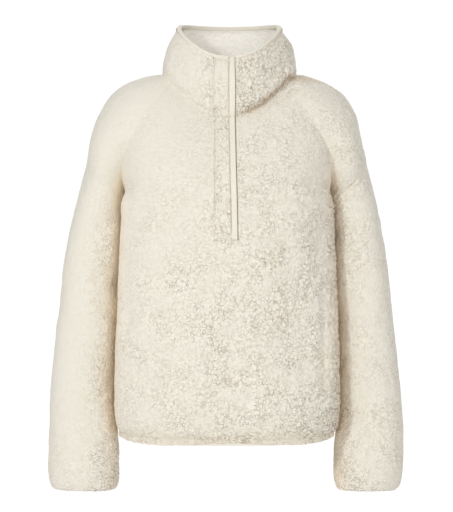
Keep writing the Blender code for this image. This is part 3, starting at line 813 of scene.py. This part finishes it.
STITCH_LONG = 2.8
STITCH_PITCH = 4.2
STITCH_THICK = 0.9
STITCH_SUNK = 0.1
STITCHES_X = -17.5
STITCHES_TOP_Z = -20.0
STITCHES_FOOT_Z = BAND_FOOT_Z + 5.0
STITCHES_RIGHT_X = 6.0
IN_FRONT_Y = -300.0

band_surface = BVHTree.FromObject(band, bpy.context.evaluated_depsgraph_get())


def on_the_band(x, z):
    """The place on the outside of the band straight behind a point seen from the front."""
    seen_from = Vector((x, IN_FRONT_Y, z)) * MM
    place, normal, _, _ = band_surface.ray_cast(seen_from, Vector((0.0, 1.0, 0.0)))
    return place - normal * (STITCH_SUNK * MM)


down_count = int((STITCHES_TOP_Z - STITCHES_FOOT_Z) / STITCH_PITCH)
across_count = int((STITCHES_RIGHT_X - STITCHES_X) / STITCH_PITCH)
stitches = [((STITCHES_X, STITCHES_TOP_Z - step * STITCH_PITCH), (0.0, -STITCH_LONG))
            for step in range(down_count)]
stitches += [((STITCHES_X + step * STITCH_PITCH, STITCHES_FOOT_Z), (STITCH_LONG, 0.0))
             for step in range(across_count)]
stitches_bm = bmesh.new()
for (x, z), (run, fall) in stitches:
    start = on_the_band(x, z)
    end = on_the_band(x + run, z + fall)
    turn = (end - start).to_track_quat("Z", "Y").to_matrix().to_4x4()
    thick = 0.5 * STITCH_THICK * MM
    size = Matrix.Diagonal((thick, thick, 0.5 * STITCH_LONG * MM, 1.0))
    bmesh.ops.create_uvsphere(stitches_bm, u_segments=8, v_segments=4, radius=1.0,
                              matrix=Matrix.Translation((start + end) * 0.5) @ turn @ size)
thread = Finish("cream_thread", 0.6, specular=0.3)
thread_colour = thread.blend(thread.grain(0.0008), (0.66, 0.59, 0.47), (0.74, 0.68, 0.57))
thread_finish = thread.paint(thread_colour, thread.grain(0.0005), 0.0002)
finished(stitches_bm, "placket_stitches", [], (thread_finish,))

# ---- Bindings
# Fine smooth knit, folded over the free edges of the band, the collar, the hem and the cuffs.

WALE_WIDE = 0.0013
WALE_RELIEF = 0.0004
TONE_WIDE = 0.018
knit = Finish("cream_knit_binding", 0.82, sheen=0.1, specular=0.25)
wale = knit.node("ShaderNodeTexVoronoi", {"feature": "F1"},
                 {"Vector": knit.place(), "Scale": 1.0 / WALE_WIDE}, "Distance")
knit_light = knit.blend(knit.grain(TONE_WIDE), (0.82, 0.775, 0.675), (0.85, 0.81, 0.715))
knit_colour = knit.blend(wale * 0.4, knit_light, (0.66, 0.59, 0.47))
knit_finish = knit.paint(knit_colour, wale, -WALE_RELIEF)

FACES = 0.3                # how far a corner's normal has to lean to face a side


def binding_piece(name, node, soften, proud):
    """A knit binding on a CAD node, its long edges rounded over.

    Its front is moved out to stand proud of the pile, and reaches over the pile at its left.
    """
    bm = merged(node)
    for vert in bm.verts:
        if vert.normal.y < -FACES:
            vert.co.y -= proud * MM
            if vert.normal.x < -FACES:
                vert.co.x -= 0.7 * proud * MM
    sharp = [edge for edge in bm.edges if edge.calc_face_angle(0.0) > SHARP_EDGE]
    bmesh.ops.bevel(bm, geom=sharp, offset=soften * MM, segments=3, profile=0.5, affect="EDGES",
                    material=-1)
    return finished(bm, name, [node], (knit_finish,))


for name, node, soften, proud, flat in (
        ("band_binding", "placket_binding", 1.3, 1.9, (0.013, 0.33)),
        ("collar_top_binding", "collar_binding", 1.6, 0.0, (0.6, 0.012)),
        ("hem_band", "hem_binding", 1.4, 0.0, (1.06, 0.012)),
        ("left_cuff_band", "cuff_binding_left", 0.8, 0.0, (0.24, 0.01)),
        ("right_cuff_band", "cuff_binding_right", 0.8, 0.0, (0.24, 0.01))):
    binding = binding_piece(name, node, soften, proud)

# ---- Snaps
# Small satin caps in the colour of the cloth, sunk in the pile.

cap = Finish("cream_snap_cap", 0.5, specular=0.4)
cap_wear = cap.grain(0.004, 3.0)
cap_colour = cap.blend(cap_wear, (0.73, 0.685, 0.585), (0.79, 0.745, 0.65))
cap_finish = cap.paint(cap_colour, cap_wear, 0.0001)
for number in range(SNAP_COUNT):
    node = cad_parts["snap_%d" % (number + 1)]
    node.data.materials.clear()
    node.data.materials.append(cap_finish)
